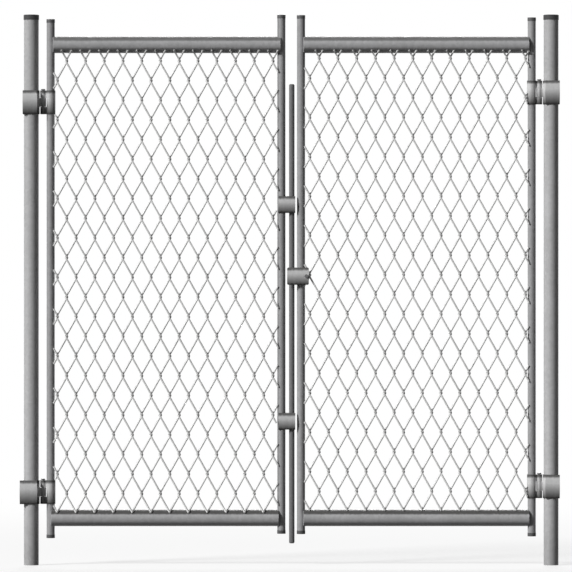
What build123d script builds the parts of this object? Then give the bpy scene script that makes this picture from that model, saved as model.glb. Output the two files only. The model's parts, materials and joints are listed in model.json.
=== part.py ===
"""Double swing gate of galvanised tube: two posts, two meshed leaves, a drop rod and a fork latch.

Millimetres. The origin is the centre of the left post's foot, at ground level. X runs to the
right post, Y away from the side that carries the mesh, Z up. Both leaves are shut.
"""

import os
from math import atan2, degrees, hypot, pi

from build123d import *

os.makedirs("parts", exist_ok=True)

# Posts
post_spacing = 1800.0
post_diameter = 51.0
post_wall = 3.0
post_height = 1902.0
cap_top_thickness = 3.0
cap_skirt_wall = 1.2
cap_skirt_depth = 14.0
cap_chamfer = 1.5

# Leaf tubes
stile_diameter = 28.0
stile_wall = 2.5
stile_length = 1795.0
hinge_stile_from_post = 67.0
latch_stile_from_post = 866.0
stile_end_thickness = 3.0
rail_diameter = 57.0
rail_wall = 2.5
rail_end_thickness = 3.0
rail_top_height = 1801.0
rail_bottom_height = 163.0
deep_lap = 11.0
shallow_lap = 4.0

# Heights of the stiles' lower ends above the ground
hinge_stile_foot = {"left": 94.0, "right": 100.0}
latch_stile_foot = {"left": 109.0, "right": 108.0}

# Mesh of the leaves: square bars with the section of a round wire of this diameter
wire_diameter = 5.0
diamond_width = 64.9
diamond_height = 136.2
mesh_plane = -11.0
mesh_crossing = {"left": (122.6, 1744.7), "right": (1061.1, 1616.9)}

# Hinges: a clamp on the post with one knuckle, a sleeve on the stile with two
hinge_height = 82.0
hinge_heights = {
    "left": {"top": 1602.0, "bottom": 252.6},
    "right": {"top": 1636.0, "bottom": 272.6},
}
pivot_from_post = 41.0
pivot_pin_diameter = 8.0
knuckle_radius = 10.0
lug_width = 14.0
knuckle_height = 30.0
knuckle_gap = 1.0
clamp_wall = 3.0
clamp_crown = 8.0
sleeve_wall = 2.5
knuckle_relief_radius = 15.0
ear_reach = 10.0
ear_height = 50.0
ear_thickness = 5.0
ear_gap = 4.0
# The one clamp that is longer outwards and closes there, in place of the ears behind the post
side_clamped = ("left", "bottom")
swing_clearance = 5.0
pin_head_height = 4.0
pin_head_radius = 7.0

# Drop rod and its guides on the left leaf
rod_diameter = 19.0
rod_length = 1590.0
rod_foot = 75.0
rod_from_latch_stile = 36.0
rod_chamfer = 3.0
guide_heights = {"upper": 1248.0, "lower": 498.0}
guide_height = 58.0
guide_wall = 3.0
guide_collar_wall = 2.3
guide_crown = 5.0
guide_grip = 10.5

# Fork latch on the right leaf
latch_height = 1000.0
fork_height = 60.0
fork_thickness = 4.0
fork_crown = 4.0
fork_tip_from_pivot = 66.5
fork_tail_from_pivot = 8.5
fork_corner_radius = 5.0
fork_pivot_from_stile = 18.5
fork_pin_diameter = 6.0
fork_pin_head_radius = 6.0
fork_pin_head_height = 3.0
collar_wall = 2.5
collar_height = 44.0
collar_boss_radius = 5.5
collar_boss_gap = 1.0

# Rounding along the edges of the crowned fittings
fitting_edge_radius = 3.5

# Fits
slip_clearance = 0.1
pin_clearance = 0.05
rod_clearance = 0.4
seat_gap = 0.3

post_radius = post_diameter / 2
stile_radius = stile_diameter / 2
rail_radius = rail_diameter / 2
pin_radius = pivot_pin_diameter / 2
rod_radius = rod_diameter / 2
pivot_to_stile = hinge_stile_from_post - pivot_from_post
bar_width = wire_diameter * pi**0.5 / 2
sides = ("left", "right")


def from_post(side, distance):
    """X of a place this far inside the post of one side."""
    return distance if side == "left" else post_spacing - distance


def inward(side):
    """1 where the gate lies to the right of the side's post, and -1 where it lies to the left."""
    return 1 if side == "left" else -1


def save(builder, name):
    """Label a finished piece and write it."""
    builder.part.label = name
    export_step(builder.part, f"parts/{name}.step")


def crowned_profile(half_height, edge_depth, crown):
    """The section of a fitting that swells front and back: depth across, height up."""
    with BuildSketch() as profile:
        with BuildLine():
            ThreePointArc((edge_depth, -half_height), (edge_depth + crown, 0), (edge_depth, half_height))
            Line((edge_depth, half_height), (-edge_depth, half_height))
            ThreePointArc((-edge_depth, half_height), (-edge_depth - crown, 0), (-edge_depth, -half_height))
            Line((-edge_depth, -half_height), (edge_depth, -half_height))
        make_face()
        fillet(profile.vertices(), fitting_edge_radius)
    return profile.sketch


def across(x, height):
    """A plane that faces along X, with depth to its right and height upwards."""
    return Plane(origin=(x, 0, height), x_dir=(0, 1, 0), z_dir=(1, 0, 0))


def make_post(side):
    """A plain round tube that stands on the ground."""
    with BuildPart() as post:
        with BuildSketch(Plane((from_post(side, 0), 0, 0))):
            Circle(post_radius)
            Circle(post_radius - post_wall, mode=Mode.SUBTRACT)
        extrude(amount=post_height)
    save(post, f"{side}_post")


def make_post_cap(side):
    """A pressed cap whose skirt slips over the top of the post."""
    inner = post_radius + slip_clearance
    outer = inner + cap_skirt_wall
    with BuildPart() as cap:
        with BuildSketch(Plane((from_post(side, 0), 0, post_height - cap_skirt_depth))):
            Circle(outer)
            Circle(inner, mode=Mode.SUBTRACT)
        extrude(amount=cap_skirt_depth)
        with BuildSketch(Plane((from_post(side, 0), 0, post_height))):
            Circle(outer)
        extrude(amount=cap_top_thickness)
        chamfer(cap.edges().group_by(Axis.Z)[-1], cap_chamfer)
    save(cap, f"{side}_post_cap")


def make_stile(name, x, foot):
    """An upright tube of a leaf, with a disc welded into each end."""
    with BuildPart() as stile:
        with BuildSketch(Plane((x, 0, foot))):
            Circle(stile_radius)
        extrude(amount=stile_length)
        with BuildSketch(Plane((x, 0, foot + stile_end_thickness))):
            Circle(stile_radius - stile_wall)
        extrude(amount=stile_length - 2 * stile_end_thickness, mode=Mode.SUBTRACT)
    save(stile, name)


def make_rail(name, side, height, hinge_lap, latch_lap):
    """A level tube between the stiles, shut at its ends and notched to saddle them."""
    hinge_x = from_post(side, hinge_stile_from_post)
    latch_x = from_post(side, latch_stile_from_post)
    start = hinge_x + inward(side) * (stile_radius - hinge_lap)
    end = latch_x - inward(side) * (stile_radius - latch_lap)
    low, high = min(start, end), max(start, end)
    notch_radius = stile_radius + slip_clearance
    section = across(low, height)
    with BuildPart() as rail:
        with BuildSketch(section):
            Circle(rail_radius)
        extrude(amount=high - low)
        with BuildSketch(section.offset(rail_end_thickness)):
            Circle(rail_radius - rail_wall)
        extrude(amount=high - low - 2 * rail_end_thickness, mode=Mode.SUBTRACT)
        with BuildSketch(Plane((0, 0, height - rail_diameter))):
            with Locations((hinge_x, 0), (latch_x, 0)):
                Circle(notch_radius)
        extrude(amount=2 * rail_diameter, mode=Mode.SUBTRACT)
    save(rail, name)


def stile_fittings(side):
    """X, middle, height and radius of each sleeve on the stiles of a leaf, which the mesh stops short of."""
    hinge_x = from_post(side, hinge_stile_from_post)
    latch_x = from_post(side, latch_stile_from_post)
    fittings = [
        (hinge_x, middle, hinge_height, stile_radius + sleeve_wall) for middle in hinge_heights[side].values()
    ]
    if side == "left":
        for middle in guide_heights.values():
            fittings.append((latch_x, middle, guide_height, stile_radius + guide_wall))
    else:
        fittings.append((latch_x, latch_height, collar_height, stile_radius + collar_wall))
    return fittings


def edge_beside(radius):
    """How far from a tube's axis the mesh ends, where it lies this far in front of that axis."""
    reach = abs(mesh_plane) - bar_width / 2
    return (radius**2 - reach**2) ** 0.5 + seat_gap


def make_mesh(side):
    """The diamond mesh of a leaf: bars that lean both ways and join where they cross."""
    width = latch_stile_from_post - hinge_stile_from_post - 2 * edge_beside(stile_radius)
    height = rail_top_height - rail_bottom_height - 2 * edge_beside(rail_radius)
    centre_x = from_post(side, (hinge_stile_from_post + latch_stile_from_post) / 2)
    centre_z = (rail_top_height + rail_bottom_height) / 2
    crossing_x, crossing_z = mesh_crossing[side]
    lean = degrees(atan2(diamond_height, diamond_width))
    lean_shift = height * diamond_width / diamond_height
    half_row = (width + lean_shift) / 2
    bar_length = hypot(height, lean_shift) + 2 * bar_width
    face = Plane(
        origin=(centre_x, mesh_plane + bar_width / 2, centre_z), x_dir=(1, 0, 0), z_dir=(0, -1, 0)
    )
    with BuildPart() as mesh:
        with BuildSketch(face):
            for slope in (1, -1):
                shift = slope * (centre_z - crossing_z) * diamond_width / diamond_height
                first = (crossing_x - centre_x + shift + half_row) % diamond_width - half_row
                count = int((half_row - first) / diamond_width) + 1
                bars = [Location((first + index * diamond_width, 0), slope * lean) for index in range(count)]
                with Locations(*bars):
                    Rectangle(bar_length, bar_width)
            Rectangle(width, height, mode=Mode.INTERSECT)
            for fitting_x, fitting_middle, fitting_height, radius in stile_fittings(side):
                with Locations((fitting_x - centre_x, fitting_middle - centre_z)):
                    Rectangle(2 * edge_beside(radius), fitting_height + 2 * seat_gap, mode=Mode.SUBTRACT)
        extrude(amount=bar_width)
        # A stub in a corner that crosses no other bar is held by nothing
        stubs = mesh.solids().sort_by(SortBy.VOLUME)[:-1]
        if stubs:
            add(stubs, mode=Mode.SUBTRACT)
    save(mesh, f"{side}_mesh")


def make_post_hinge(side, place):
    """The clamp round the post, crowned front and back, with the middle knuckle towards the leaf."""
    x = from_post(side, 0)
    to_pivot = inward(side) * pivot_from_post
    height = hinge_heights[side][place]
    half = hinge_height / 2
    edge_depth = post_radius + clamp_wall
    lug_length = pivot_from_post - post_radius
    foot = Plane((x, 0, height - half))
    outside = side_clamped == (side, place)
    outer_reach = edge_depth + ear_reach if outside else edge_depth
    block_start = x - outer_reach if side == "left" else x - edge_depth
    ear_direction = (-inward(side), 0, 0) if outside else (0, 1, 0)
    ear_end = outer_reach if outside else edge_depth + clamp_crown + ear_reach
    ears = Plane(origin=(x, 0, height - ear_height / 2), x_dir=ear_direction)
    with BuildPart() as clamp:
        with BuildSketch(across(block_start, height)):
            add(crowned_profile(half, edge_depth, clamp_crown))
        extrude(amount=edge_depth + outer_reach)
        with BuildSketch(foot):
            with Locations((to_pivot, -pivot_to_stile), (to_pivot, pivot_to_stile)):
                Circle(stile_radius + sleeve_wall + swing_clearance)
        extrude(amount=hinge_height, mode=Mode.SUBTRACT)
        with BuildSketch(foot.offset((hinge_height - knuckle_height) / 2)):
            with Locations((to_pivot, 0)):
                Circle(knuckle_radius)
            with Locations((to_pivot - inward(side) * lug_length / 2, 0)):
                Rectangle(lug_length, lug_width)
        extrude(amount=knuckle_height)
        if not outside:
            with BuildSketch(ears):
                with Locations(((post_radius + ear_end) / 2, 0)):
                    Rectangle(ear_end - post_radius, ear_gap + 2 * ear_thickness)
            extrude(amount=ear_height)
        with BuildSketch(foot):
            Circle(post_radius + slip_clearance)
            with Locations((to_pivot, 0)):
                Circle(pin_radius + slip_clearance)
        extrude(amount=hinge_height, mode=Mode.SUBTRACT)
        with BuildSketch(ears.offset((ear_height - hinge_height) / 2)):
            with Locations((ear_end / 2, 0)):
                Rectangle(ear_end, ear_gap)
        extrude(amount=hinge_height, mode=Mode.SUBTRACT)
    save(clamp, f"{side}_{place}_post_hinge")


def make_leaf_hinge(side, place):
    """The sleeve round the hinge stile, with the upper and lower knuckles."""
    x = from_post(side, hinge_stile_from_post)
    pivot_x = from_post(side, pivot_from_post)
    height = hinge_heights[side][place]
    half = hinge_height / 2
    gap_half = knuckle_height / 2 + knuckle_gap
    with BuildPart() as sleeve:
        with BuildSketch(Plane((x, 0, height - half))):
            Circle(stile_radius + sleeve_wall)
        extrude(amount=hinge_height)
        with BuildSketch(Plane((pivot_x, 0, height - half))):
            Circle(knuckle_radius)
            with Locations((inward(side) * pivot_to_stile / 2, 0)):
                Rectangle(pivot_to_stile, lug_width)
        extrude(amount=hinge_height)
        with BuildSketch(Plane((pivot_x, 0, height - gap_half))):
            Circle(knuckle_relief_radius)
        extrude(amount=2 * gap_half, mode=Mode.SUBTRACT)
        with BuildSketch(Plane((x, 0, height - half))):
            Circle(stile_radius + slip_clearance)
            with Locations((pivot_x - x, 0)):
                Circle(pin_radius + pin_clearance)
        extrude(amount=hinge_height, mode=Mode.SUBTRACT)
    save(sleeve, f"{side}_{place}_leaf_hinge")


def make_hinge_pin(side, place):
    """The headed pin that drops through the three knuckles."""
    height = hinge_heights[side][place]
    pivot_x = from_post(side, pivot_from_post)
    with BuildPart() as pin:
        with BuildSketch(Plane((pivot_x, 0, height - hinge_height / 2))):
            Circle(pin_radius)
        extrude(amount=hinge_height + knuckle_gap)
        with BuildSketch(Plane((pivot_x, 0, height + hinge_height / 2 + knuckle_gap))):
            Circle(pin_head_radius)
        extrude(amount=pin_head_height)
    save(pin, f"{side}_{place}_hinge_pin")


def make_rod_guide(place):
    """A block that grips the left latch stile and guides the drop rod beside it."""
    stile_x = from_post("left", latch_stile_from_post)
    end = rod_from_latch_stile + rod_radius + rod_clearance + guide_collar_wall
    height = guide_heights[place]
    with BuildPart() as guide:
        with BuildSketch(across(stile_x - guide_grip, height)):
            add(crowned_profile(guide_height / 2, stile_radius + guide_wall, guide_crown))
        extrude(amount=guide_grip + end)
        with BuildSketch(Plane((stile_x, 0, height - guide_height / 2))):
            Circle(stile_radius + slip_clearance)
            with Locations((rod_from_latch_stile, 0)):
                Circle(rod_radius + rod_clearance)
        extrude(amount=guide_height, mode=Mode.SUBTRACT)
    save(guide, f"{place}_rod_guide")


def make_drop_rod():
    """The bolt that drops into the ground and holds the left leaf."""
    rod_x = from_post("left", latch_stile_from_post) + rod_from_latch_stile
    with BuildPart() as rod:
        with BuildSketch(Plane((rod_x, 0, rod_foot))):
            Circle(rod_radius)
        extrude(amount=rod_length)
        chamfer(rod.edges().filter_by(GeomType.CIRCLE), rod_chamfer)
    save(rod, "drop_rod")


def fork_pivot():
    """X of the fork's pivot, on the mesh side of the right latch stile."""
    return from_post("right", latch_stile_from_post) + fork_pivot_from_stile


def fork_inner_face():
    """How far from the leaf's middle plane each prong starts."""
    return stile_radius + collar_wall + swing_clearance


def make_latch_collar():
    """The collar on the right latch stile, with the long boss that the fork's pin turns in."""
    stile_x = from_post("right", latch_stile_from_post)
    boss_length = 2 * (fork_inner_face() - collar_boss_gap)
    boss_end = Plane(
        origin=(fork_pivot(), -boss_length / 2, latch_height), x_dir=(1, 0, 0), z_dir=(0, 1, 0)
    )
    with BuildPart() as collar:
        with BuildSketch(Plane((stile_x, 0, latch_height - collar_height / 2))):
            Circle(stile_radius + collar_wall)
        extrude(amount=collar_height)
        with BuildSketch(boss_end):
            Circle(collar_boss_radius)
        extrude(amount=boss_length)
        with BuildSketch(Plane((stile_x, 0, latch_height - collar_height / 2))):
            Circle(stile_radius + slip_clearance)
        extrude(amount=collar_height, mode=Mode.SUBTRACT)
        with BuildSketch(boss_end):
            Circle(fork_pin_diameter / 2 + pin_clearance)
        extrude(amount=boss_length, mode=Mode.SUBTRACT)
    save(collar, "latch_collar")


def make_latch_fork():
    """The two prongs of the fork, crowned on their outer sides, and the pin that joins them."""
    pivot = fork_pivot()
    length = fork_tip_from_pivot + fork_tail_from_pivot
    middle = (fork_tail_from_pivot - fork_tip_from_pivot) / 2
    side_view = Plane(origin=(pivot, 0, latch_height), x_dir=(1, 0, 0), z_dir=(0, -1, 0))
    for name, front in (("latch_front_prong", -1), ("latch_back_prong", 1)):
        inner_face = Plane(origin=(pivot, front * fork_inner_face(), latch_height), z_dir=(0, front, 0))
        with BuildPart() as prong:
            with BuildSketch(across(pivot - fork_tip_from_pivot, latch_height)):
                add(crowned_profile(fork_height / 2, fork_inner_face() + fork_thickness, fork_crown))
            extrude(amount=length)
            with BuildSketch(side_view):
                with Locations((middle, 0)):
                    RectangleRounded(length, fork_height, fork_corner_radius)
                Circle(fork_pin_diameter / 2 + slip_clearance, mode=Mode.SUBTRACT)
            extrude(amount=length, both=True, mode=Mode.INTERSECT)
            split(bisect_by=inner_face, keep=Keep.TOP)
        save(prong, name)

    shank = 2 * (fork_inner_face() + fork_thickness + fork_crown)
    with BuildPart() as pin:
        with BuildSketch(Plane(origin=(pivot, -shank / 2, latch_height), x_dir=(1, 0, 0), z_dir=(0, 1, 0))):
            Circle(fork_pin_diameter / 2)
        extrude(amount=shank)
        for end, outward in ((-shank / 2, -1), (shank / 2, 1)):
            with BuildSketch(Plane(origin=(pivot, end, latch_height), x_dir=(1, 0, 0), z_dir=(0, outward, 0))):
                Circle(fork_pin_head_radius)
            extrude(amount=fork_pin_head_height)
    save(pin, "latch_pivot_pin")


for side in sides:
    make_post(side)
    make_post_cap(side)
    make_stile(f"{side}_hinge_stile", from_post(side, hinge_stile_from_post), hinge_stile_foot[side])
    make_stile(f"{side}_latch_stile", from_post(side, latch_stile_from_post), latch_stile_foot[side])
    make_mesh(side)
    for place in ("top", "bottom"):
        make_post_hinge(side, place)
        make_leaf_hinge(side, place)
        make_hinge_pin(side, place)

make_rail("left_top_rail", "left", rail_top_height, shallow_lap, deep_lap)
make_rail("left_bottom_rail", "left", rail_bottom_height, deep_lap, shallow_lap)
make_rail("right_top_rail", "right", rail_top_height, shallow_lap, shallow_lap)
make_rail("right_bottom_rail", "right", rail_bottom_height, shallow_lap, shallow_lap)
make_rod_guide("upper")
make_rod_guide("lower")
make_drop_rod()
make_latch_collar()
make_latch_fork()
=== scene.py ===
"""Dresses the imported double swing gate: woven wire, fixings, welds, finishes and a plain stage.

Metres. X runs from the left post to the right one, Y away from the side that carries the mesh, Z up.
"""

import json
from functools import partial
from math import acos, asin, ceil, cos, pi, radians, sin, tau

import bmesh
import bpy
from bpy.props import FloatProperty, FloatVectorProperty, IntProperty, PointerProperty
from mathutils import Matrix, Vector


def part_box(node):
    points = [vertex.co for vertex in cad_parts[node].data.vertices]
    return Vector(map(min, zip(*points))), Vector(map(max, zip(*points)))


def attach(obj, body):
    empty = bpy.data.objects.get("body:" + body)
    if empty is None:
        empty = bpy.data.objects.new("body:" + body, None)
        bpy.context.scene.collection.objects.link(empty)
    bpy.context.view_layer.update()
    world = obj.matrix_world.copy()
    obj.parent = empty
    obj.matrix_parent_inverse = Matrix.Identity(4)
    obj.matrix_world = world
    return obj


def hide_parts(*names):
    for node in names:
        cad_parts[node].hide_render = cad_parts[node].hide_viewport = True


bl_info = {
    "name": "Double Swing Gate Dressing",
    "version": (1, 0, 0),
    "blender": (4, 5, 0),
    "location": "View3D > Sidebar > Gate",
    "description": "Adds the woven mesh, fixings, welds, finishes and stage of a double swing gate",
    "category": "Object",
}

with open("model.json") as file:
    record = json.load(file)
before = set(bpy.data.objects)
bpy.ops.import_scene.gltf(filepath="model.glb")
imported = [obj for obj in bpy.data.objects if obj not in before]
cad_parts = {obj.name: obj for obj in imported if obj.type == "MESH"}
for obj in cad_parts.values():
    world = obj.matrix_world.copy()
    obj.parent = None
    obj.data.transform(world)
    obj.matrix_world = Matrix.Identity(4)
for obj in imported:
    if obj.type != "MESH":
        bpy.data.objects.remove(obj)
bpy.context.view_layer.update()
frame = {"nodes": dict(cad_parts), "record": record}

SIDES = ("left", "right")
PLACES = ("top", "bottom")


def node_middle(name):
    """Centre of a solid's box."""
    low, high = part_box(name)
    return (low + high) / 2


def node_radius(name, axis="x"):
    """Half the thickness of a tube, across one axis."""
    low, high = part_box(name)
    return (getattr(high, axis) - getattr(low, axis)) / 2


STILE_RADIUS = node_radius("left_hinge_stile")
RAIL_RADIUS = node_radius("left_top_rail", "z")

# X and Z of one crossing in each leaf's mesh, from which its diamonds are laid out
MESH_CROSSING = {"left": (0.1226, 1.7447), "right": (1.0611, 1.6169)}
# A wire's way round a crossing: height in hooks, and reach past the crossing in wire radii
HOOK_PATH = ((-1, 0), (-0.5, 0.62), (-0.25, 0.88), (0, 1), (0.25, 0.88), (0.5, 0.62), (1, 0))
# Share of a hook's height by which the wire is fully in front or behind
HOOK_DEPTH_SHARE = 0.7
CROSSING_MARGIN = 0.0035
WRAP_STEPS = 5
EDGE_STEP = 0.0035
FITTING_WALL = 0.0015
WIRE_CREASE = radians(60)
CREASE = radians(35)

# Screws and through bolts
WASHER_SHARE = 0.56
WASHER_SIDES = 24
SCREW_WASHER = 0.001
SCREW_CHAMFER = 0.0007
BOLT_WASHER = 0.0012
BOLT_CHAMFER = 0.0008
NUT_EXTRA = 0.001
THREAD_END = 0.0022
THREAD_SIDES = 20
THREAD_CHAMFER = 0.0006
EAR_TOLERANCE = 0.001
EAR_HALF_GRIP = 0.007
BOLT_FROM_EAR_END = 0.0057
SCREW_FROM_CLAMP_END = 0.0062
CLAMP_SCREW_SUNK = 0.0012
GUIDE_SCREW_SUNK = 0.0006
GUIDE_SCREW_SPREAD = 0.012

# Caps on the stiles
CAP_SIDES = 40
CAP_EDGE = 0.0005
CAP_LIP = 0.0002

# Weld beads
BEAD_FACETS = 8
BEAD_STEPS = 36
BEAD_RIPPLE = 0.0042
BEAD_SWELL = 0.16
BEAD_PROUD = 0.0006
BEAD_END = 0.001

# Each skin: crystal size as a share of the spangle size, crystal contrast, roughness, bump
SKINS = {
    "post": (1.0, 0.12, 0.6, 0.12),
    "tube": (1.0, 0.12, 0.58, 0.12),
    "fitting": (0.5, 0.08, 0.55, 0.3),
    "wire": (0.4, 0.06, 0.55, 0.1),
    "bar": (0.6, 0.08, 0.55, 0.15),
    "cap": (0.6, 0.1, 0.55, 0.15),
    "weld": (0.3, 0.15, 0.6, 0.4),
}
METALLIC = 0.04
SPECULAR = 0.2
RELIEF_DEPTH = 0.0006
WEAR_RADIUS = 0.0015
WEAR_LIGHTENING = 1.25
SETTLED_AMOUNT = 0.75
# Painted shade on the fittings, darker towards the foot and along the level edges
FITTING_SHADE_COLOUR = (0.022, 0.021, 0.02, 1)
# Painted shade along the front edges of the rails and latch stiles
BAND_SHADE_COLOUR = (0.035, 0.034, 0.033, 1)
SETTLED_COLOUR = (0.07, 0.068, 0.065, 1)
# Bands of painted shade along the rails' front edges: rail, side of its middle, shift inwards, half
# width and strength
RAIL_SHADE_BANDS = (
    ("top", -1, 0.0, 0.0075, 0.45), ("top", 1, 0.002, 0.0055, 0.5),
    ("bottom", 1, 0.0, 0.0065, 0.85), ("bottom", -1, 0.0, 0.005, 0.3),
)
# Insets and size of the painted shade along the rails and the latch stiles
RAIL_SHADE_INSET = 0.009
STILE_SHADE_INSET = 0.002
STILE_SHADE_HALF_WIDTH = 0.004
STILE_SHADE_STRENGTH = 0.3

# Stage
FLOOR_MIDDLE = 0.9
FLOOR_RADIUS = 9
FLOOR_SIDES = 96
FLOOR_DROP = 0.001
FLOOR_FADE_SPAN = (1.2, 5.0)
FLOOR_WHITE_SHARE = (0.7, 1.0)
FLOOR_COLOUR = (0.12, 0.12, 0.12, 1)
SEEN_FLOOR_COLOUR = (0.9, 0.9, 0.9, 1)
WHITE = (1, 1, 1, 1)
SENSOR_WIDTH = 36
CLIP_END = 200
# Azimuth, elevation and spread of each lamp, in degrees
LAMPS = {"key": (-55, 32, 14), "back": (180, 24, 20)}


class GateWire(bpy.types.PropertyGroup):
    """Sizes of the woven mesh."""

    diameter: FloatProperty(
        name="Wire Diameter", description="Thickness of the mesh wire",
        default=0.0062, min=0.001, unit="LENGTH",
    )
    pitch: FloatProperty(
        name="Diamond Width", description="Width of one diamond",
        default=0.0649, min=0.01, unit="LENGTH",
    )
    rise: FloatProperty(
        name="Diamond Height", description="Height of one diamond",
        default=0.1362, min=0.01, unit="LENGTH",
    )
    plane: FloatProperty(
        name="Mesh Plane", description="Y of the middle of the weave",
        default=-0.012, unit="LENGTH",
    )
    hook: FloatProperty(
        name="Hook Height", description="Half the height over which two wires pass round each other",
        default=0.0052, min=0.001, unit="LENGTH",
    )
    overlap: FloatProperty(
        name="Stile Overlap", description="How far wire ends lie over a stile",
        default=0.004, unit="LENGTH",
    )
    wrap: FloatProperty(
        name="Rail Wrap", description="How far round a rail a wire end turns",
        default=radians(52), unit="ROTATION",
    )
    facets: IntProperty(name="Wire Facets", description="Sides of each wire", default=8, min=5)


class GateFinish(bpy.types.PropertyGroup):
    """Colours of the finishes."""

    post: FloatVectorProperty(
        name="Posts", description="Colour of the posts",
        subtype="COLOR", default=(0.46, 0.46, 0.464),
    )
    tube: FloatVectorProperty(
        name="Stiles", description="Colour of the stiles",
        subtype="COLOR", default=(0.35, 0.35, 0.355),
    )
    rail: FloatVectorProperty(
        name="Rails", description="Colour of the rails",
        subtype="COLOR", default=(0.43, 0.43, 0.435),
    )
    fitting: FloatVectorProperty(
        name="Fittings", description="Colour of clamps, guides and latch",
        subtype="COLOR", default=(0.6, 0.6, 0.6),
    )
    wire: FloatVectorProperty(
        name="Wire", description="Colour of the mesh wire",
        subtype="COLOR", default=(0.76, 0.76, 0.755),
    )
    bar: FloatVectorProperty(
        name="Bars", description="Colour of the rod and the pins",
        subtype="COLOR", default=(0.18, 0.18, 0.184),
    )
    cap: FloatVectorProperty(
        name="Caps", description="Colour of the pressed caps",
        subtype="COLOR", default=(0.07, 0.07, 0.072),
    )
    plug: FloatVectorProperty(
        name="Stile Caps", description="Colour of the caps on the stiles",
        subtype="COLOR", default=(0.11, 0.11, 0.112),
    )
    spangle: FloatProperty(
        name="Spangle Size", description="Size of the zinc crystals",
        default=0.011, min=0.001, unit="LENGTH",
    )


class GateFixings(bpy.types.PropertyGroup):
    """Sizes of bolts, nuts, caps and welds."""

    bolt: FloatProperty(
        name="Bolt Diameter", description="Diameter of the clamp bolts",
        default=0.006, unit="LENGTH",
    )
    head_width: FloatProperty(
        name="Head Width", description="Width of a hexagon across its corners",
        default=0.0098, unit="LENGTH",
    )
    head_height: FloatProperty(
        name="Head Height", description="Height of a bolt head",
        default=0.004, unit="LENGTH",
    )
    spread: FloatProperty(
        name="Bolt Spread", description="Height of each bolt above or below the clamp's middle",
        default=0.013, unit="LENGTH",
    )
    cap_height: FloatProperty(
        name="Cap Skirt", description="Height of the caps on the stiles",
        default=0.012, unit="LENGTH",
    )
    cap_wall: FloatProperty(
        name="Cap Wall", description="Thickness of the caps on the stiles",
        default=0.0007, unit="LENGTH",
    )
    weld: FloatProperty(
        name="Weld Radius", description="Radius of a weld bead",
        default=0.0024, unit="LENGTH",
    )


class GateStage(bpy.types.PropertyGroup):
    """The camera and the lamps."""

    distance: FloatProperty(
        name="Camera Distance", description="How far in front the camera stands",
        default=16.5, unit="LENGTH",
    )
    view_width: FloatProperty(
        name="View Width", description="Width of the picture at the gate",
        default=1.981, unit="LENGTH",
    )
    view_x: FloatProperty(
        name="View Centre X", description="X of the picture's centre",
        default=0.882, unit="LENGTH",
    )
    view_z: FloatProperty(
        name="View Centre Z", description="Z of the picture's centre",
        default=0.966, unit="LENGTH",
    )
    key: FloatProperty(name="Key Strength", description="Strength of the main lamp", default=3.6)
    back: FloatProperty(name="Back Strength", description="Strength of the lamp behind", default=1.8)
    ambient: FloatProperty(
        name="Ambient", description="Strength of the light from all round", default=0.03
    )


# Finishes


def add_node(tree, kind, place, **settings):
    """A shader node with its settings."""
    node = tree.nodes.new(kind)
    node.location = place
    for key, value in settings.items():
        setattr(node, key, value)
    return node


def add_math(tree, operation, place, first, second):
    """A maths node; each side is a socket or a number."""
    node = add_node(tree, "ShaderNodeMath", place, operation=operation)
    for socket, value in zip(node.inputs, (first, second)):
        if isinstance(value, (int, float)):
            socket.default_value = value
        else:
            tree.links.new(value, socket)
    return node.outputs[0]


def add_range(tree, place, value, span, reach, smooth=False):
    """Maps a value from one span of numbers to another."""
    node = add_node(tree, "ShaderNodeMapRange", place)
    if smooth:
        node.interpolation_type = "SMOOTHSTEP"
    tree.links.new(value, node.inputs["Value"])
    for name, number in zip(("From Min", "From Max", "To Min", "To Max"), (*span, *reach)):
        node.inputs[name].default_value = number
    return node.outputs["Result"]


def add_noise(tree, place, vector, scale, detail, stretch=(1, 1, 1)):
    """A noise texture, stretched along the axes."""
    mapping = add_node(tree, "ShaderNodeMapping", (place[0] - 200, place[1]))
    mapping.inputs["Scale"].default_value = stretch
    tree.links.new(vector, mapping.inputs["Vector"])
    noise = add_node(tree, "ShaderNodeTexNoise", place)
    noise.inputs["Scale"].default_value = scale
    noise.inputs["Detail"].default_value = detail
    tree.links.new(mapping.outputs[0], noise.inputs["Vector"])
    return noise.outputs["Fac"]


def new_group(name, inputs, outputs):
    """A shader group with named sockets: the group, what it is given and what it puts out."""
    tree = bpy.data.node_groups.new(name, "ShaderNodeTree")
    for label, kind, value in inputs:
        socket = tree.interface.new_socket(
            name=label, in_out="INPUT", socket_type=f"NodeSocket{kind}"
        )
        if value is not None:
            socket.default_value = value
    for label, kind in outputs:
        tree.interface.new_socket(name=label, in_out="OUTPUT", socket_type=f"NodeSocket{kind}")
    source = add_node(tree, "NodeGroupInput", (-1200, 0))
    result = add_node(tree, "NodeGroupOutput", (600, 0))
    return tree, source.outputs, result.inputs


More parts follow.
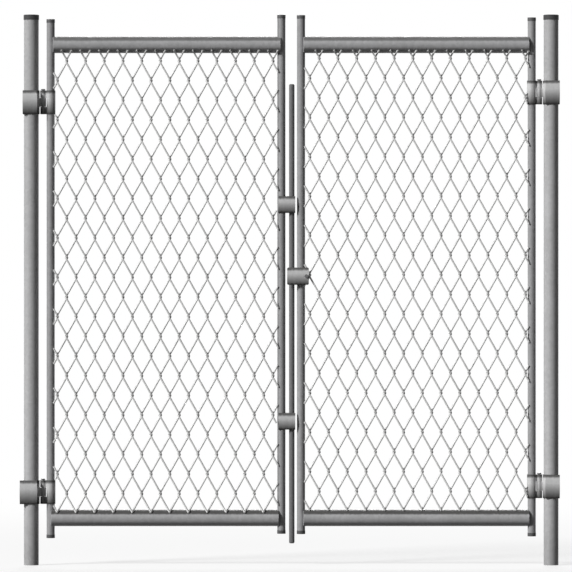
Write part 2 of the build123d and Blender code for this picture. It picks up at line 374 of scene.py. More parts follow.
def build_zinc_group():
    """Crystals of a galvanised skin, with cloudy patches, runs and specks of white rust."""
    tree, given, result = new_group(
        "zinc_skin",
        (
            ("Vector", "Vector", None), ("Colour", "Color", (0.4, 0.4, 0.4, 1)),
            ("Spangle Scale", "Float", 90.0), ("Spangle Depth", "Float", 0.12),
            ("Roughness", "Float", 0.5),
        ),
        (("Colour", "Color"), ("Roughness", "Float"), ("Height", "Float")),
    )
    vector = given["Vector"]
    crystals = add_node(tree, "ShaderNodeTexVoronoi", (-900, 300))
    tree.links.new(vector, crystals.inputs["Vector"])
    tree.links.new(given["Spangle Scale"], crystals.inputs["Scale"])
    grey = add_node(tree, "ShaderNodeSeparateColor", (-700, 300))
    tree.links.new(crystals.outputs["Color"], grey.inputs[0])
    facet = add_math(tree, "SUBTRACT", (-500, 300), grey.outputs[0], 0.5)
    facet = add_math(tree, "MULTIPLY", (-300, 300), facet, given["Spangle Depth"])
    cloud = add_noise(tree, (-700, 60), vector, scale=6.0, detail=3.0)
    cloud = add_range(tree, (-500, 60), cloud, (0.3, 0.7), (-0.06, 0.06))
    runs = add_noise(tree, (-700, -160), vector, scale=3.0, detail=4.0, stretch=(30, 30, 1.2))
    runs = add_range(tree, (-500, -160), runs, (0.35, 0.75), (-0.04, 0.04))
    fleck = add_noise(tree, (-700, -380), vector, scale=260.0, detail=2.0)
    bloom = add_range(tree, (-500, -380), fleck, (0.66, 0.74), (0.0, 0.16), smooth=True)
    tone = cloud
    for count, term in enumerate((runs, facet, bloom, 1.0)):
        tone = add_math(tree, "ADD", (-300 + 140 * count, 60), tone, term)
    tint = add_node(tree, "ShaderNodeVectorMath", (280, 120), operation="SCALE")
    tree.links.new(given["Colour"], tint.inputs[0])
    tree.links.new(tone, tint.inputs["Scale"])
    tree.links.new(tint.outputs[0], result["Colour"])
    rough = add_math(tree, "MULTIPLY", (120, -160), facet, 0.8)
    rough = add_math(tree, "ADD", (240, -160), rough, given["Roughness"])
    rough = add_math(tree, "ADD", (360, -160), rough, bloom)
    tree.links.new(rough, result["Roughness"])
    lump = add_noise(tree, (-700, -600), vector, scale=140.0, detail=3.0)
    tree.links.new(add_math(tree, "ADD", (240, -360), lump, facet), result["Height"])


def build_wear_group():
    """Mask of the worn edges: the rounded normal leaves the true one where an edge is near."""
    tree, _, result = new_group("edge_wear", (), (("Mask", "Float"),))
    rounded = add_node(tree, "ShaderNodeBevel", (-900, 0), samples=4)
    rounded.inputs["Radius"].default_value = WEAR_RADIUS
    plain = add_node(tree, "ShaderNodeNewGeometry", (-900, -200))
    likeness = add_node(tree, "ShaderNodeVectorMath", (-600, 0), operation="DOT_PRODUCT")
    tree.links.new(rounded.outputs[0], likeness.inputs[0])
    tree.links.new(plain.outputs["Normal"], likeness.inputs[1])
    mask = add_range(tree, (-300, 0), likeness.outputs["Value"], (0.99, 0.85), (0.0, 1.0), smooth=True)
    tree.links.new(mask, result["Mask"])


def build_shade_band_group():
    """A broken band of painted shade about one coordinate, darkening a tube's edge."""
    tree, given, result = new_group(
        "grime_band",
        (
            ("Vector", "Vector", None), ("Position", "Float", 0.0),
            ("Middle", "Float", 0.0), ("Half Width", "Float", 0.01),
        ),
        (("Mask", "Float"),),
    )
    away = add_math(tree, "SUBTRACT", (-900, 0), given["Position"], given["Middle"])
    away = add_math(tree, "ABSOLUTE", (-760, 0), away, 0.0)
    away = add_math(tree, "DIVIDE", (-620, 0), away, given["Half Width"])
    ragged = add_noise(tree, (-760, -240), given["Vector"], scale=120.0, detail=3.0)
    ragged = add_range(tree, (-560, -240), ragged, (0.3, 0.7), (-0.18, 0.18))
    away = add_math(tree, "ADD", (-400, 0), away, ragged)
    mask = add_range(tree, (-200, 0), away, (0.45, 1.45), (1.0, 0.0), smooth=True)
    tree.links.new(mask, result["Mask"])


def build_fitting_shade_group():
    """Painted shade on a fitting: darker towards its foot, as under a light from above, and dark along
    both level edges.
    """
    tree, given, result = new_group(
        "run_off",
        (
            ("Vector", "Vector", None), ("Position", "Float", 0.0),
            ("Low", "Float", 0.0), ("High", "Float", 0.08),
        ),
        (("Mask", "Float"),),
    )
    streaks = add_noise(
        tree, (-900, -300), given["Vector"], scale=1.0, detail=3.0, stretch=(170, 170, 14)
    )
    streaks = add_range(tree, (-700, -300), streaks, (0.3, 0.7), (-0.0012, 0.0012))
    depth = add_math(tree, "SUBTRACT", (-900, 300), given["High"], given["Position"])
    depth = add_math(tree, "ADD", (-740, 300), depth, streaks)
    whole = add_math(tree, "SUBTRACT", (-900, 120), given["High"], given["Low"])
    rest = add_math(tree, "SUBTRACT", (-740, 120), whole, depth)
    fall = add_math(tree, "DIVIDE", (-560, 200), depth, whole)
    upper = add_range(tree, (-360, 400), depth, (0.005, 0.0145), (0.84, 0.0), smooth=True)
    lower = add_range(tree, (-360, 160), rest, (0.003, 0.0145), (0.96, 0.0), smooth=True)
    body = add_range(tree, (-360, -80), fall, (0.36, 0.98), (0.0, 0.93))
    mask = add_math(tree, "MAXIMUM", (-120, 280), upper, lower)
    mask = add_math(tree, "MAXIMUM", (40, 120), mask, body)
    tree.links.new(mask, result["Mask"])


def build_settled_group():
    """Grime that settles on faces that look up, and a little splashed over the lowest parts."""
    tree, given, result = new_group(
        "settled_grime", (("Vector", "Vector", None), ("Amount", "Float", 0.3)), (("Mask", "Float"),)
    )
    faces = add_node(tree, "ShaderNodeNewGeometry", (-900, 200))
    up = add_node(tree, "ShaderNodeSeparateXYZ", (-700, 200))
    tree.links.new(faces.outputs["Normal"], up.inputs[0])
    lying = add_range(tree, (-500, 200), up.outputs["Z"], (0.4, 0.8), (0.0, 1.0), smooth=True)
    place = add_node(tree, "ShaderNodeSeparateXYZ", (-700, -60))
    tree.links.new(given["Vector"], place.inputs[0])
    splash = add_range(tree, (-500, -60), place.outputs["Z"], (0.0, 0.18), (0.3, 0.0), smooth=True)
    patch = add_noise(tree, (-700, -300), given["Vector"], scale=45.0, detail=4.0)
    patch = add_range(tree, (-500, -300), patch, (0.3, 0.7), (0.65, 1.0))
    mask = add_math(tree, "MAXIMUM", (-300, 100), lying, splash)
    mask = add_math(tree, "MULTIPLY", (-150, 100), mask, patch)
    mask = add_math(tree, "MULTIPLY", (0, 100), mask, given["Amount"])
    tree.links.new(mask, result["Mask"])


def use_group(tree, name, place, **values):
    """A copy of a shared effect in a material."""
    node = add_node(tree, "ShaderNodeGroup", place)
    node.node_tree = bpy.data.node_groups[name]
    for key, value in values.items():
        node.inputs[key.replace("_", " ")].default_value = value
    return node


def add_mix(tree, place, mask, under, over):
    """Lays a plain colour over another by a mask."""
    node = add_node(tree, "ShaderNodeMix", place, data_type="RGBA")
    tree.links.new(mask, node.inputs["Factor"])
    tree.links.new(under, node.inputs["A"])
    node.inputs["B"].default_value = over
    return node.outputs["Result"]


def build_finish(name, colour, skin, spangle, bands=(), shaded_span=None):
    """A galvanised finish.

    Each band of painted shade is an axis, its middle, its half width and its strength. The last
    argument holds the lowest and highest Z of a fitting that gets painted shade, darker towards its
    foot and along both level edges.
    """
    share, contrast, roughness, bump = SKINS[skin]
    material = bpy.data.materials.new(name)
    material.use_nodes = True
    tree = material.node_tree
    shader = tree.nodes["Principled BSDF"]
    place = add_node(tree, "ShaderNodeTexCoord", (-1400, 0))
    vector = place.outputs["Object"]
    zinc = use_group(
        tree, "zinc_skin", (-1000, 200), Colour=(*colour, 1), Spangle_Scale=1 / (spangle * share),
        Spangle_Depth=contrast, Roughness=roughness,
    )
    tree.links.new(vector, zinc.inputs["Vector"])
    shade = zinc.outputs["Colour"]
    wear = use_group(tree, "edge_wear", (-1000, -120))
    light = [min(1.0, part * WEAR_LIGHTENING) for part in colour] + [1]
    shade = add_mix(tree, (-600, 260), wear.outputs["Mask"], shade, light)
    if bands or shaded_span:
        axes = add_node(tree, "ShaderNodeSeparateXYZ", (-1200, -520))
        tree.links.new(vector, axes.inputs[0])
    # Painted shade on a fitting, darker towards its foot and along both level edges
    if shaded_span:
        run = use_group(tree, "run_off", (-1000, -420), Low=shaded_span[0], High=shaded_span[1])
        tree.links.new(vector, run.inputs["Vector"])
        tree.links.new(axes.outputs["Z"], run.inputs["Position"])
        shade = add_mix(tree, (-500, 160), run.outputs["Mask"], shade, FITTING_SHADE_COLOUR)
    # Painted shade, only on the front side, which faces the camera
    if bands:
        front = add_range(
            tree, (-1000, -700), axes.outputs["Y"], (-0.004, 0.0), (1.0, 0.0), smooth=True
        )
    # Each band is painted shade along a tube's edge
    for count, (axis, middle, half_width, strength) in enumerate(bands):
        row = -420 - 200 * count
        grime = use_group(tree, "grime_band", (-1000, row), Middle=middle, Half_Width=half_width)
        tree.links.new(vector, grime.inputs["Vector"])
        tree.links.new(axes.outputs[axis], grime.inputs["Position"])
        mask = add_math(tree, "MULTIPLY", (-760, row), grime.outputs["Mask"], front)
        mask = add_math(tree, "MULTIPLY", (-640, row), mask, strength)
        shade = add_mix(tree, (-500, 160 - 200 * count), mask, shade, BAND_SHADE_COLOUR)
    settled = use_group(tree, "settled_grime", (-1000, -260), Amount=SETTLED_AMOUNT)
    tree.links.new(vector, settled.inputs["Vector"])
    shade = add_mix(tree, (-240, 260), settled.outputs["Mask"], shade, SETTLED_COLOUR)
    tree.links.new(shade, shader.inputs["Base Color"])
    tree.links.new(zinc.outputs["Roughness"], shader.inputs["Roughness"])
    shader.inputs["Metallic"].default_value = METALLIC
    shader.inputs["Specular IOR Level"].default_value = SPECULAR
    relief = add_node(tree, "ShaderNodeBump", (-300, -300))
    relief.inputs["Strength"].default_value = bump
    relief.inputs["Distance"].default_value = RELIEF_DEPTH
    tree.links.new(zinc.outputs["Height"], relief.inputs["Height"])
    tree.links.new(relief.outputs[0], shader.inputs["Normal"])


def wear_finish(piece, name):
    """Gives a piece one finish."""
    piece.data.materials.clear()
    piece.data.materials.append(bpy.data.materials[name])


# Pieces


def save_piece(mesh, name, body, finish):
    """Turns a finished bmesh into a smooth piece that rides on a body."""
    data = bpy.data.meshes.new(name)
    mesh.to_mesh(data)
    mesh.free()
    for face in data.polygons:
        face.use_smooth = True
    piece = bpy.data.objects.new(name, data)
    bpy.context.scene.collection.objects.link(piece)
    wear_finish(piece, finish)
    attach(piece, body)
    return piece


def shade_by_angle(piece, angle=CREASE):
    """Keeps the edges sharper than this angle crisp."""
    mesh = bmesh.new()
    mesh.from_mesh(piece.data)
    for edge in mesh.edges:
        edge.smooth = len(edge.link_faces) == 2 and edge.calc_face_angle(0) < angle
    mesh.to_mesh(piece.data)
    mesh.free()


def made_verts(made):
    """The new vertices of an extrusion."""
    return [part for part in made["geom"] if isinstance(part, bmesh.types.BMVert)]


def turn_to(axis):
    """The turn that stands Z up along an axis."""
    return Vector((0, 0, 1)).rotation_difference(axis).to_matrix().to_4x4()


def soften(mesh, edges, width):
    """Rounds edges off."""
    bmesh.ops.bevel(
        mesh, geom=edges, offset=width, segments=2, profile=0.5, affect="EDGES", material=-1
    )


def sweep(mesh, path, radius, facets):
    """Draws a round wire along a path by extruding one ring from point to point."""
    heading = (path[1] - path[0]).normalized()
    made = bmesh.ops.create_circle(
        mesh, cap_ends=True, radius=radius, segments=facets,
        matrix=Matrix.Translation(path[0]) @ turn_to(heading),
    )
    edges = list(made["verts"][0].link_faces[0].edges)
    for count in range(1, len(path)):
        made = bmesh.ops.extrude_edge_only(mesh, edges=edges)
        ring = made_verts(made)
        edges = [
            part for part in made["geom"]
            if isinstance(part, bmesh.types.BMEdge) and all(end in ring for end in part.verts)
        ]
        bmesh.ops.translate(mesh, verts=ring, vec=path[count] - path[count - 1])
        onward = path[min(count + 1, len(path) - 1)] - path[count - 1]
        onward.normalize()
        bmesh.ops.rotate(
            mesh, verts=ring, cent=path[count], matrix=heading.rotation_difference(onward).to_matrix()
        )
        heading = onward
    bmesh.ops.contextual_create(mesh, geom=edges)


def join_copy(mesh, source, shift):
    """Adds a moved copy of another bmesh."""
    data = bpy.data.meshes.new("copy")
    source.to_mesh(data)
    before = len(mesh.verts)
    mesh.from_mesh(data)
    mesh.verts.ensure_lookup_table()
    bmesh.ops.translate(mesh, verts=mesh.verts[before:], vec=shift)
    bpy.data.meshes.remove(data)


def zigzag(left, right, level, top, foot, wire):
    """Centre line of one woven wire, from above the top rail to below the bottom one.

    level is the height of one of its turns on the left. Strands that fall to the right lie in
    front.
    """
    layer = wire.diameter / 2
    half = wire.rise / 2
    first = level + ceil((top - level) / half) * half
    points = []
    for turn in range(int((first - foot) / half) + 2):
        middle = first - turn * half
        on_left = round((middle - level) / half) % 2 == 0
        for step, beyond in HOOK_PATH:
            depth = layer * sin(pi / 2 * max(-1, min(1, step / HOOK_DEPTH_SHARE)))
            x = left - layer * beyond if on_left else right + layer * beyond
            y = wire.plane - depth if on_left else wire.plane + depth
            points.append(Vector((x, y, middle - wire.hook * step)))
    return points


def wrap_round_rail(line, beyond, rail_z, upward, wire, stop=None):
    """Points that carry the end of a line round the front of a rail.

    line holds the points from the end inwards, and beyond is the next point outside it.
    """
    radius = RAIL_RADIUS + wire.diameter / 2
    inner = line[0]
    slope = (beyond.x - inner.x) / (beyond.z - inner.z)
    start = asin(-inner.y / radius)
    end = wire.wrap
    if stop is not None:
        end = min(end, acos(min(1, abs(stop - rail_z) / radius)))
    points = []
    if end <= start:
        return points
    for step in range(WRAP_STEPS + 1):
        angle = start + (end - start) * step / WRAP_STEPS
        z = rail_z - upward * radius * cos(angle)
        points.append(Vector((inner.x + slope * (z - inner.z), -radius * sin(angle), z)))
    return points


def strand_depth(point, stile_x, radius):
    """Y of a point that lies on a tube if the tube would stand in front of it."""
    away = abs(point.x - stile_x)
    if away >= radius:
        return point.y
    return min(point.y, -((radius**2 - away**2) ** 0.5))


def fine_line(points, step):
    """The same line with more points on its long runs."""
    fine = [points[0]]
    for before, after in zip(points, points[1:]):
        parts = max(1, int((after - before).length / step))
        fine += [before.lerp(after, part / parts) for part in range(1, parts + 1)]
    return fine


def clip_between_rails(points, wire, top_z, bottom_z, level):
    """Cuts a line at the rails and turns its ends round them.

    An end stops short of a crossing that would fall on the rail.
    """
    reach = RAIL_RADIUS + wire.diameter / 2
    half = wire.rise / 2

    def inside(point):
        drop = (max(0.0, reach**2 - point.y**2)) ** 0.5
        return bottom_z + drop < point.z < top_z - drop

    kept = [index for index, point in enumerate(points) if inside(point)]
    first, last = kept[0], kept[-1]
    line = points[first:last + 1]
    near_top = level + round((top_z - RAIL_RADIUS - level) / half) * half
    near_foot = level + round((bottom_z + RAIL_RADIUS - level) / half) * half
    top_stop = near_top - CROSSING_MARGIN if near_top > line[0].z else None
    foot_stop = near_foot + CROSSING_MARGIN if near_foot < line[-1].z else None
    head = wrap_round_rail(line, points[first - 1], top_z, 1, wire, top_stop)
    tail = wrap_round_rail(line[::-1], points[last + 1], bottom_z, -1, wire, foot_stop)
    return head[::-1] + line + tail


def weave_leaf(side, wire):
    """The woven mesh of one leaf, its wires hooked round the rails and laid over the stiles."""
    hinge_x = node_middle(f"{side}_hinge_stile").x
    latch_x = node_middle(f"{side}_latch_stile").x
    top_z = node_middle(f"{side}_top_rail").z
    bottom_z = node_middle(f"{side}_bottom_rail").z
    cross_x, cross_z = MESH_CROSSING[side]
    stiles = sorted((hinge_x, latch_x))
    low_x, high_x = stiles
    step = wire.pitch / 2
    edge = STILE_RADIUS - wire.overlap
    column = cross_x - int((cross_x - low_x - edge) / step) * step - step
    fittings = leaf_fittings(side)

    def strand(left, level):
        """Centre line of one wire between the rails, from the X of its turns on the left."""
        line = zigzag(left, left + step, level, top_z, bottom_z, wire)
        return clip_between_rails(line, wire, top_z, bottom_z, level)

    mesh = bmesh.new()
    templates = {}
    while column < high_x - edge:
        odd = round((column - cross_x) / step) % 2
        level = cross_z + (wire.rise / 2 if odd else 0)
        if column < low_x + STILE_RADIUS or column + step > high_x - STILE_RADIUS:
            points = fine_line(strand(column, level), EDGE_STEP)
            weave_edge(mesh, points, stiles, fittings, wire)
        else:
            if odd not in templates:
                templates[odd] = bmesh.new()
                sweep(templates[odd], strand(0, level), wire.diameter / 2, wire.facets)
            join_copy(mesh, templates[odd], Vector((column, 0, 0)))
        column += step
    for template in templates.values():
        template.free()
    bmesh.ops.recalc_face_normals(mesh, faces=mesh.faces)
    return mesh


def leaf_fittings(side):
    """X, lowest Z, highest Z and radius of what grips the stiles of a leaf."""
    names = [f"{side}_{place}_leaf_hinge" for place in PLACES]
    names += ["upper_rod_guide", "lower_rod_guide"] if side == "left" else ["latch_collar"]
    found = []
    for name in names:
        low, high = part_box(name)
        stile = f"{side}_hinge_stile" if "hinge" in name else f"{side}_latch_stile"
        found.append((node_middle(stile).x, low.z, high.z, STILE_RADIUS + FITTING_WALL))
    return found


def weave_edge(mesh, points, stiles, fittings, wire):
    """The wire beside a stile, in the stretches inside the leaf and clear of the fittings."""
    grip = STILE_RADIUS + wire.diameter / 2
    edge = STILE_RADIUS - wire.overlap
    runs = [[]]
    for point in points:
        blocked = any(
            bottom < point.z < top and abs(point.x - x) < radius for x, bottom, top, radius in fittings
        )
        if stiles[0] + edge < point.x < stiles[1] - edge and not blocked:
            depth = min(strand_depth(point, stile_x, grip) for stile_x in stiles)
            runs[-1].append(Vector((point.x, depth, point.z)))
        elif runs[-1]:
            runs.append([])
    for run in runs:
        if len(run) > 2:
            strand = bmesh.new()
            sweep(strand, run, wire.diameter / 2, wire.facets)
            join_copy(mesh, strand, Vector())
            strand.free()


def make_prism(mesh, base, axis, radius, height, sides, chamfer):
    """A bolt head, nut, washer or stub: a short bar with a softened outer rim."""
    made = bmesh.ops.create_circle(
        mesh, cap_ends=True, radius=radius, segments=sides,
        matrix=Matrix.Translation(base) @ turn_to(axis),
    )
    grown = bmesh.ops.extrude_face_region(mesh, geom=[made["verts"][0].link_faces[0]])
    top = made_verts(grown)
    bmesh.ops.translate(mesh, verts=top, vec=axis * height)
    soften(mesh, [edge for edge in mesh.edges if all(end in top for end in edge.verts)], chamfer)


def make_head(mesh, face, axis, fixings, washer, height, chamfer):
    """A washer and a hexagon on a face."""
    width = fixings.head_width
    make_prism(mesh, face, axis, width * WASHER_SHARE, washer, WASHER_SIDES, washer / 3)
    make_prism(mesh, face + axis * washer, axis, width / 2, height, 6, chamfer)


def make_screw(mesh, face, axis, fixings):
    """A washer and a hexagon head on a face."""
    make_head(mesh, face, axis, fixings, SCREW_WASHER, fixings.head_height, SCREW_CHAMFER)


def make_through_bolt(mesh, middle, axis, half_grip, fixings):
    """A hexagon bolt through two ears, with washers, nut and the end of its thread."""
    nut = fixings.head_height + NUT_EXTRA
    for direction, height in ((-1, fixings.head_height), (1, nut)):
        way = axis * direction
        make_head(mesh, middle + way * half_grip, way, fixings, BOLT_WASHER, height, BOLT_CHAMFER)
    tip = middle + axis * (half_grip + BOLT_WASHER + nut)
    make_prism(mesh, tip, axis, fixings.bolt / 2, THREAD_END, THREAD_SIDES, THREAD_CHAMFER)


def make_bead(mesh, path, radius):
    """A weld bead: a swept bar whose rings swell and shrink as the puddles did."""
    before = len(mesh.verts)
    sweep(mesh, path, radius, BEAD_FACETS)
    mesh.verts.ensure_lookup_table()
    for vert in mesh.verts[before:]:
        nearest = min(path, key=lambda point: (point - vert.co).length_squared)
        swell = 1 + BEAD_SWELL * sin(tau * (nearest - path[0]).length / BEAD_RIPPLE)
        vert.co = nearest + (vert.co - nearest) * swell


class GATE_OT_finishes(bpy.types.Operator):
    """Build the galvanised finishes and give them to the solids."""

    bl_idname = "gate.finishes"
    bl_label = "Build Finishes"

    def execute(self, context):
        finish = context.scene.gate_finish
        size = finish.spangle
        build_zinc_group()
        build_wear_group()
        build_shade_band_group()
        build_fitting_shade_group()
        build_settled_group()
        for name, colour, skin in (
            ("post_zinc", finish.post, "post"), ("wire_zinc", finish.wire, "wire"),
            ("bar_zinc", finish.bar, "bar"), ("cap_steel", finish.cap, "cap"),
            ("plug_steel", finish.plug, "cap"), ("weld_metal", finish.tube, "weld"),
            ("stile_zinc", finish.tube, "tube"),
        ):
            build_finish(name, colour, skin, size)
        for side in SIDES:
            self.build_shaded_tubes(side, finish, size)
        by_slot = {
            "post_tube": "post_zinc", "leaf_tube": "stile_zinc", "cap": "cap_steel",
            "wire": "wire_zinc", "bar": "bar_zinc",
        }
        for part in frame["record"]["subparts"]:
            name = part["node"]
            side = name.split("_")[0]
            if part["material_slot"] == "fitting":
                # A fitting's finish gets painted shade, darker towards its foot and along both level
                # edges
                choice = f"{name}_zinc"
                low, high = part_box(name)
                build_finish(choice, finish.fitting, "fitting", size, shaded_span=(low.z, high.z))
            # Rails and latch stiles get the finishes with painted shade along their front edges
            elif name.endswith("_rail"):
                choice = f"{side}_rail_zinc"
            elif name.endswith("latch_stile"):
                choice = f"{side}_latch_zinc"
            else:
                choice = by_slot[part["material_slot"]]
            wear_finish(frame["nodes"][name], choice)
        return {"FINISHED"}

    def build_shaded_tubes(self, side, finish, size):
        """The finishes of a leaf's latch stile and rails, with painted shade along their front edges.
        """
        latch = node_middle(f"{side}_latch_stile").x
        inner = -1 if side == "left" else 1
        shade_band_x = latch + inner * (STILE_RADIUS - STILE_SHADE_INSET)
        build_finish(
            f"{side}_latch_zinc", finish.tube, "tube", size,
            [("X", shade_band_x, STILE_SHADE_HALF_WIDTH, STILE_SHADE_STRENGTH)],
        )
        bands = []
        for place, way, shift, half_width, strength in RAIL_SHADE_BANDS:
            middle = node_middle(f"{side}_{place}_rail").z
            band_z = middle + way * (RAIL_RADIUS - RAIL_SHADE_INSET - shift)
            bands.append(("Z", band_z, half_width, strength))
        build_finish(f"{side}_rail_zinc", finish.rail, "tube", size, bands)


class GATE_OT_mesh(bpy.types.Operator):
    """Weave the mesh of both leaves."""

    bl_idname = "gate.mesh"
    bl_label = "Weave Mesh"

    def execute(self, context):
        for side in SIDES:
            mesh = weave_leaf(side, context.scene.gate_wire)
            piece = save_piece(mesh, f"{side}_woven_mesh", f"{side}_leaf", "wire_zinc")
            shade_by_angle(piece, WIRE_CREASE)
            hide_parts(f"{side}_mesh")
        return {"FINISHED"}


class GATE_OT_clamp_bolts(bpy.types.Operator):
    """Fasten each post clamp: bolts through its ears, or screws where it closes at its side."""

    bl_idname = "gate.clamp_bolts"
    bl_label = "Add Clamp Bolts"

    def execute(self, context):
        fixings = context.scene.gate_fixings
        for side in SIDES:
            for place in PLACES:
                mesh = bmesh.new()
                middle, add_fixing = self.plan_fixing(side, place)
                for sign in (-1, 1):
                    shift = Vector((0, 0, sign * fixings.spread))
                    add_fixing(mesh, middle + shift, fixings=fixings)
                piece = save_piece(mesh, f"{side}_{place}_clamp_bolts", "posts", "bar_zinc")
                shade_by_angle(piece)
        return {"FINISHED"}

    def plan_fixing(self, side, place):
        """Where a clamp is fastened, and how. One with ears reaches further back than forward."""
        low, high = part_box(f"{side}_{place}_post_hinge")
        height = (low.z + high.z) / 2
        if high.y > -low.y + EAR_TOLERANCE:
            middle = Vector((node_middle(f"{side}_post").x, high.y - BOLT_FROM_EAR_END, height))
            return middle, partial(
                make_through_bolt, axis=Vector((1, 0, 0)), half_grip=EAR_HALF_GRIP
            )
        outer, inward = (low.x, 1) if side == "left" else (high.x, -1)
        screw_x = outer + inward * SCREW_FROM_CLAMP_END
        middle = Vector((screw_x, high.y - CLAMP_SCREW_SUNK, height))
        return middle, partial(make_screw, axis=Vector((0, 1, 0)))


class GATE_OT_guide_screws(bpy.types.Operator):
    """Put two screws through the back of each rod guide into the stile."""

    bl_idname = "gate.guide_screws"
    bl_label = "Add Guide Screws"

    def execute(self, context):
        fixings = context.scene.gate_fixings
        stile_x = node_middle("left_latch_stile").x
        for name in ("upper_rod_guide", "lower_rod_guide"):
            low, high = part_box(name)
            mesh = bmesh.new()
            for sign in (-1, 1):
                height = (low.z + high.z) / 2 + sign * GUIDE_SCREW_SPREAD
                face = Vector((stile_x, high.y - GUIDE_SCREW_SUNK, height))
                make_screw(mesh, face, Vector((0, 1, 0)), fixings)
            screws = name.replace("rod_guide", "guide_screws")
            piece = save_piece(mesh, screws, "left_leaf", "bar_zinc")
            shade_by_angle(piece)
        return {"FINISHED"}


class GATE_OT_stile_caps(bpy.types.Operator):
    """Close the ends of the stiles with thin pressed caps."""

    bl_idname = "gate.stile_caps"
    bl_label = "Add Stile Caps"

    def execute(self, context):
        fixings = context.scene.gate_fixings
        for side in SIDES:
            for kind in ("hinge", "latch"):
                low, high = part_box(f"{side}_{kind}_stile")
                x = (low.x + high.x) / 2
                mesh = bmesh.new()
                for end, way in ((high.z, 1), (low.z, -1)):
                    self.press_cap(mesh, Vector((x, 0, end)), way, fixings)
                caps = f"{side}_{kind}_stile_caps"
                piece = save_piece(mesh, caps, f"{side}_leaf", "plug_steel")
                shade_by_angle(piece)
        return {"FINISHED"}

    def press_cap(self, mesh, end, way, fixings):
        """A shallow cup over one end: a disc drawn down the tube's side, with a softened rim."""
        radius = STILE_RADIUS + fixings.cap_wall
        top = end + Vector((0, 0, way * fixings.cap_wall))
        made = bmesh.ops.create_circle(
            mesh, cap_ends=True, radius=radius, segments=CAP_SIDES, matrix=Matrix.Translation(top)
        )
        rim = list(made["verts"][0].link_faces[0].edges)
        low_ring = made_verts(bmesh.ops.extrude_edge_only(mesh, edges=rim))
        bmesh.ops.translate(mesh, verts=low_ring, vec=(0, 0, -way * fixings.cap_height))
        soften(mesh, rim, CAP_EDGE)

        def on_lip(vert):
            below_top = abs(vert.co.z - top.z) > fixings.cap_height / 2
            return below_top and abs(vert.co.z - end.z) < 2 * fixings.cap_height

        lip = [
            edge for edge in mesh.edges
            if len(edge.link_faces) == 1 and all(on_lip(vert) for vert in edge.verts)
        ]
        for vert in made_verts(bmesh.ops.extrude_edge_only(mesh, edges=lip)):
            outward = Vector((vert.co.x - end.x, vert.co.y, 0)).normalized()
            vert.co -= outward * (fixings.cap_wall + CAP_LIP)


class GATE_OT_welds(bpy.types.Operator):
    """Run weld beads where the rails meet the stiles."""

    bl_idname = "gate.welds"
    bl_label = "Add Welds"

    def execute(self, context):
        radius = context.scene.gate_fixings.weld
        for side in SIDES:
            mesh = bmesh.new()
            for place in PLACES:
                low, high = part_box(f"{side}_{place}_rail")
                rail_z = (low.z + high.z) / 2
                for stile in (f"{side}_hinge_stile", f"{side}_latch_stile"):
                    stile_x = node_middle(stile).x
                    face_x = low.x if abs(low.x - stile_x) < abs(high.x - stile_x) else high.x
                    depth = (STILE_RADIUS**2 - (face_x - stile_x) ** 2) ** 0.5
                    for front in (-1, 1):
                        self.run_bead(mesh, face_x, front * (depth + BEAD_PROUD), rail_z, radius)
            bmesh.ops.recalc_face_normals(mesh, faces=mesh.faces)
            save_piece(mesh, f"{side}_leaf_welds", f"{side}_leaf", "weld_metal")
        return {"FINISHED"}

    def run_bead(self, mesh, x, y, middle, radius):
        """An upright bead along one side of the joint."""
        half = (RAIL_RADIUS**2 - y**2) ** 0.5 - BEAD_END
        path = [
            Vector((x, y, middle + half * (2 * step / BEAD_STEPS - 1)))
            for step in range(BEAD_STEPS + 1)
        ]
        make_bead(mesh, path, radius)


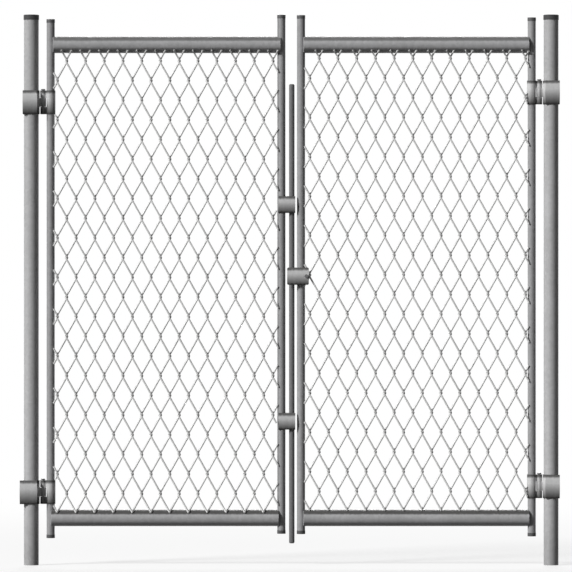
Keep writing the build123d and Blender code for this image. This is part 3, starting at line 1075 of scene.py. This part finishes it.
class GATE_OT_stage(bpy.types.Operator):
    """Set out the floor, the lamps, the sky and the camera."""

    bl_idname = "gate.stage"
    bl_label = "Set Stage"

    def execute(self, context):
        stage = context.scene.gate_stage
        self.lay_floor()
        self.hang_lamps(context, stage)
        self.make_sky(context, stage)
        camera = bpy.data.cameras.new("front_view")
        camera.sensor_width = SENSOR_WIDTH
        camera.lens = camera.sensor_width * stage.distance / stage.view_width
        camera.clip_end = CLIP_END
        eye = bpy.data.objects.new("front_view", camera)
        eye.location = (stage.view_x, -stage.distance, stage.view_z)
        eye.rotation_euler = (pi / 2, 0, 0)
        context.scene.collection.objects.link(eye)
        context.scene.camera = eye
        context.scene.view_settings.view_transform = "Standard"
        return {"FINISHED"}

    def lay_floor(self):
        """A wide disc of pale floor that fades into the white round it."""
        mesh = bmesh.new()
        bmesh.ops.create_circle(
            mesh, cap_ends=True, radius=FLOOR_RADIUS, segments=FLOOR_SIDES,
            matrix=Matrix.Translation((FLOOR_MIDDLE, 0, -FLOOR_DROP)),
        )
        data = bpy.data.meshes.new("floor")
        mesh.to_mesh(data)
        mesh.free()
        floor = bpy.data.objects.new("floor", data)
        bpy.context.scene.collection.objects.link(floor)
        material = bpy.data.materials.new("pale_floor")
        material.use_nodes = True
        tree = material.node_tree
        tree.nodes.clear()
        output = add_node(tree, "ShaderNodeOutputMaterial", (600, 0))
        paint = add_node(tree, "ShaderNodeBsdfDiffuse", (0, 0))
        paint.inputs["Color"].default_value = FLOOR_COLOUR
        seen = add_node(tree, "ShaderNodeBsdfDiffuse", (0, -120))
        seen.inputs["Color"].default_value = SEEN_FLOOR_COLOUR
        white = add_node(tree, "ShaderNodeEmission", (0, -240))
        place = add_node(tree, "ShaderNodeTexCoord", (-900, -200))
        centred = add_node(tree, "ShaderNodeMapping", (-700, -200))
        centred.inputs["Location"].default_value = (-FLOOR_MIDDLE, 0, 0)
        tree.links.new(place.outputs["Object"], centred.inputs["Vector"])
        length = add_node(tree, "ShaderNodeVectorMath", (-500, -200), operation="LENGTH")
        tree.links.new(centred.outputs[0], length.inputs[0])
        fade = add_range(
            tree, (-300, -200), length.outputs["Value"], FLOOR_FADE_SPAN, FLOOR_WHITE_SHARE,
            smooth=True,
        )
        pale = self.mix_shaders(tree, (200, -100), fade, seen, white)
        mixed = self.mix_shaders(tree, (400, 0), self.seen_rays(tree), paint, pale)
        tree.links.new(mixed.outputs[0], output.inputs["Surface"])
        floor.data.materials.append(material)

    def mix_shaders(self, tree, place, share, first, second):
        """Blends two shaders by a share."""
        mixed = add_node(tree, "ShaderNodeMixShader", place)
        for count, socket in enumerate((share, first.outputs[0], second.outputs[0])):
            tree.links.new(socket, mixed.inputs[count])
        return mixed

    def seen_rays(self, tree):
        """1 for rays from the camera, and for reflected and passed ones."""
        rays = add_node(tree, "ShaderNodeLightPath", (-600, 300)).outputs
        seen = add_math(tree, "MAXIMUM", (-400, 300), rays["Is Camera Ray"], rays["Is Glossy Ray"])
        return add_math(tree, "MAXIMUM", (-200, 300), seen, rays["Is Transmission Ray"])

    def hang_lamps(self, context, stage):
        """A soft key from the upper left and a weaker lamp behind."""
        for name, (azimuth, height, spread) in LAMPS.items():
            lamp = bpy.data.lights.new(name, "SUN")
            lamp.energy = getattr(stage, name)
            lamp.angle = radians(spread)
            around, above = radians(azimuth), radians(height)
            towards = Vector((sin(around) * cos(above), -cos(around) * cos(above), sin(above)))
            holder = bpy.data.objects.new(name, lamp)
            holder.rotation_mode = "QUATERNION"
            holder.rotation_quaternion = towards.to_track_quat("Z", "Y")
            context.scene.collection.objects.link(holder)

    def make_sky(self, context, stage):
        """A sky that is seen white and gives little light."""
        world = bpy.data.worlds.new("studio")
        context.scene.world = world
        world.use_nodes = True
        tree = world.node_tree
        tree.nodes.clear()
        output = add_node(tree, "ShaderNodeOutputWorld", (600, 0))
        dim = add_node(tree, "ShaderNodeBackground", (0, 0))
        dim.inputs["Strength"].default_value = stage.ambient
        white = add_node(tree, "ShaderNodeBackground", (0, -150))
        for shade in (dim, white):
            shade.inputs["Color"].default_value = WHITE
        mixed = self.mix_shaders(tree, (300, 0), self.seen_rays(tree), dim, white)
        tree.links.new(mixed.outputs[0], output.inputs["Surface"])


OPERATORS = (
    GATE_OT_finishes, GATE_OT_mesh, GATE_OT_clamp_bolts, GATE_OT_guide_screws,
    GATE_OT_stile_caps, GATE_OT_welds, GATE_OT_stage,
)
GROUPS = {
    "gate_wire": GateWire, "gate_finish": GateFinish,
    "gate_fixings": GateFixings, "gate_stage": GateStage,
}


class GATE_PT_panel(bpy.types.Panel):
    """The gate's steps and sizes."""

    bl_idname = "GATE_PT_panel"
    bl_label = "Double Swing Gate"
    bl_space_type = "VIEW_3D"
    bl_region_type = "UI"
    bl_category = "Gate"

    def draw(self, context):
        for step in OPERATORS:
            self.layout.operator(step.bl_idname)
        for name in GROUPS:
            group = getattr(context.scene, name)
            box = self.layout.box()
            for key in group.__annotations__:
                box.prop(group, key)


def register():
    """Adds the settings, the steps and the panel."""
    for group in GROUPS.values():
        bpy.utils.register_class(group)
    for name, group in GROUPS.items():
        setattr(bpy.types.Scene, name, PointerProperty(type=group))
    for step in OPERATORS:
        bpy.utils.register_class(step)
    bpy.utils.register_class(GATE_PT_panel)


def unregister():
    """Takes them away again."""
    bpy.utils.unregister_class(GATE_PT_panel)
    for step in reversed(OPERATORS):
        bpy.utils.unregister_class(step)
    for name in GROUPS:
        delattr(bpy.types.Scene, name)
    for group in reversed(list(GROUPS.values())):
        bpy.utils.unregister_class(group)


def main():
    """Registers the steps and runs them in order."""
    register()
    for step in OPERATORS:
        group, name = step.bl_idname.split(".")
        getattr(getattr(bpy.ops, group), name)()


if __name__ == "__main__":
    main()
